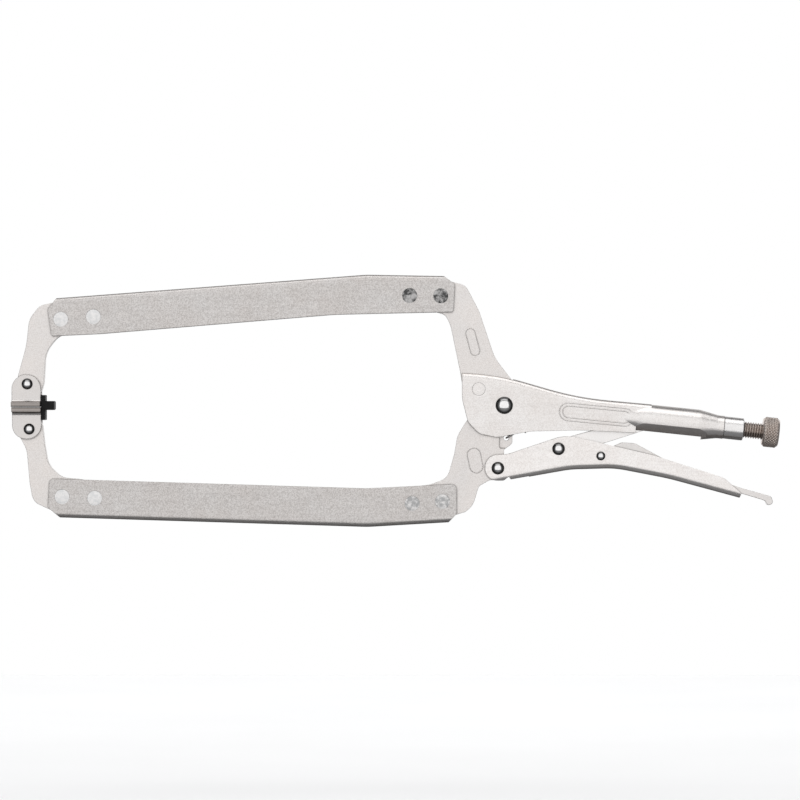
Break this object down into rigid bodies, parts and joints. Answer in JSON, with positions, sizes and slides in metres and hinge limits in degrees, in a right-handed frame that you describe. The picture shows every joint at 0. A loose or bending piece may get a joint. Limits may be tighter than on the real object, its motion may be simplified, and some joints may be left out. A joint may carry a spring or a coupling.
{
  "type": "locking c clamp",
  "caption": "Deep-reach locking C-clamp with two long channel arms, swivel pads, a toggle lever with release strap and a knurled adjusting screw.",
  "frame": {"origin": "middle of the closed swivel pads' meeting faces, on the tool's mid-plane", "axes": "+X from the jaw tips to the handle, +Z from the moving lower jaw to the fixed upper jaw, +Y across the sheet metal"},
  "size_m": [0.4604, 0.024, 0.1511],
  "materials": {
    "pressed_steel": "fine satin plated",
    "collar_steel": "turned satin",
    "forged_steel": "blasted and plated",
    "pad_steel": "satin plated",
    "polished_rivet": "polished dome",
    "flush_rivet": "satin, set flush",
    "dark_rivet": "bare steel, mottled",
    "dark_nickel": "dark nickel",
    "link_steel": "zinc plated",
    "spring_steel": "drawn wire",
    "black_rubber": "matt black"
  },
  "bodies": {
    "handle": {"handle_body": "pressed_steel", "threaded_collar": "collar_steel", "upper_jaw_root": "forged_steel", "root_cross_rivet": "flush_rivet", "main_pivot_rivet": "polished_rivet", "upper_arm_channel": "pressed_steel", "upper_tip": "forged_steel", "upper_tip_rivet_1": "flush_rivet", "upper_tip_rivet_2": "flush_rivet", "upper_root_rivet_1": "dark_rivet", "upper_root_rivet_2": "dark_rivet", "upper_pad_rivet": "polished_rivet", "return_spring": "spring_steel"},
    "movable_jaw": {"lower_jaw_root": "forged_steel", "lower_arm_channel": "pressed_steel", "lower_tip": "forged_steel", "lower_tip_rivet_1": "flush_rivet", "lower_tip_rivet_2": "flush_rivet", "lower_root_rivet_1": "dark_rivet", "lower_root_rivet_2": "dark_rivet", "lower_pad_rivet": "polished_rivet", "lever_pivot_rivet": "polished_rivet"},
    "upper_swivel_pad": {"upper_pad": "pad_steel"},
    "lower_swivel_pad": {"lower_pad": "pad_steel", "pad_bumper": "black_rubber"},
    "lever": {"lever_shell": "pressed_steel", "link_pivot_rivet": "polished_rivet", "release_pivot_rivet": "polished_rivet"},
    "link": {"toggle_link": "link_steel"},
    "release": {"release_lever": "link_steel"},
    "screw_point": {"screw_nose": "dark_nickel"},
    "screw": {"adjusting_screw": "dark_nickel", "knurled_head": "dark_nickel"}
  },
  "joints": [
    {"name": "jaw_open", "type": "hinge", "parent": "handle", "child": "movable_jaw", "pos_m": [0.2856, 0, 0.001], "axis": [0, -1, 0], "range_deg": [0, 40], "deforming": ["return_spring"]},
    {"name": "lever_swing", "type": "hinge", "parent": "movable_jaw", "child": "lever", "pos_m": [0.2818, 0, -0.0366], "axis": [0, 1, 0], "range_deg": [0, 99]},
    {"name": "link_swing", "type": "hinge", "parent": "lever", "child": "link", "pos_m": [0.3181, 0, -0.025], "axis": [0, -1, 0], "range_deg": [0, 105]},
    {"name": "upper_pad_swivel", "type": "hinge", "parent": "handle", "child": "upper_swivel_pad", "pos_m": [0, 0, 0.0138], "axis": [0, -1, 0], "range_deg": [0, 21]},
    {"name": "lower_pad_swivel", "type": "hinge", "parent": "movable_jaw", "child": "lower_swivel_pad", "pos_m": [0.0012, 0, -0.0132], "axis": [0, 1, 0], "range_deg": [0, 21]},
    {"name": "release_swing", "type": "hinge", "parent": "lever", "child": "release", "pos_m": [0.3434, 0, -0.0293], "axis": [0, -1, 0], "range_deg": [0, 10]},
    {"name": "screw_travel", "type": "slide", "parent": "handle", "child": "screw_point", "axis": [0.9945, 0, -0.1045], "range_m": [0, 0.02]},
    {"name": "screw_turn", "type": "hinge", "parent": "screw_point", "child": "screw", "pos_m": [0.4292, 0, -0.0135], "axis": [0.9945, 0, -0.1045], "range_deg": [0, 4824]}
  ],
  "couplings": [
    {"joint": "lever_swing", "follows": "jaw_open", "ratio": 2.45},
    {"joint": "link_swing", "follows": "jaw_open", "ratio": 2.6},
    {"joint": "upper_pad_swivel", "follows": "jaw_open", "ratio": 0.5},
    {"joint": "lower_pad_swivel", "follows": "jaw_open", "ratio": 0.5},
    {"joint": "screw_turn", "follows": "screw_travel", "rad_per_m": 4188.8}
  ]
}
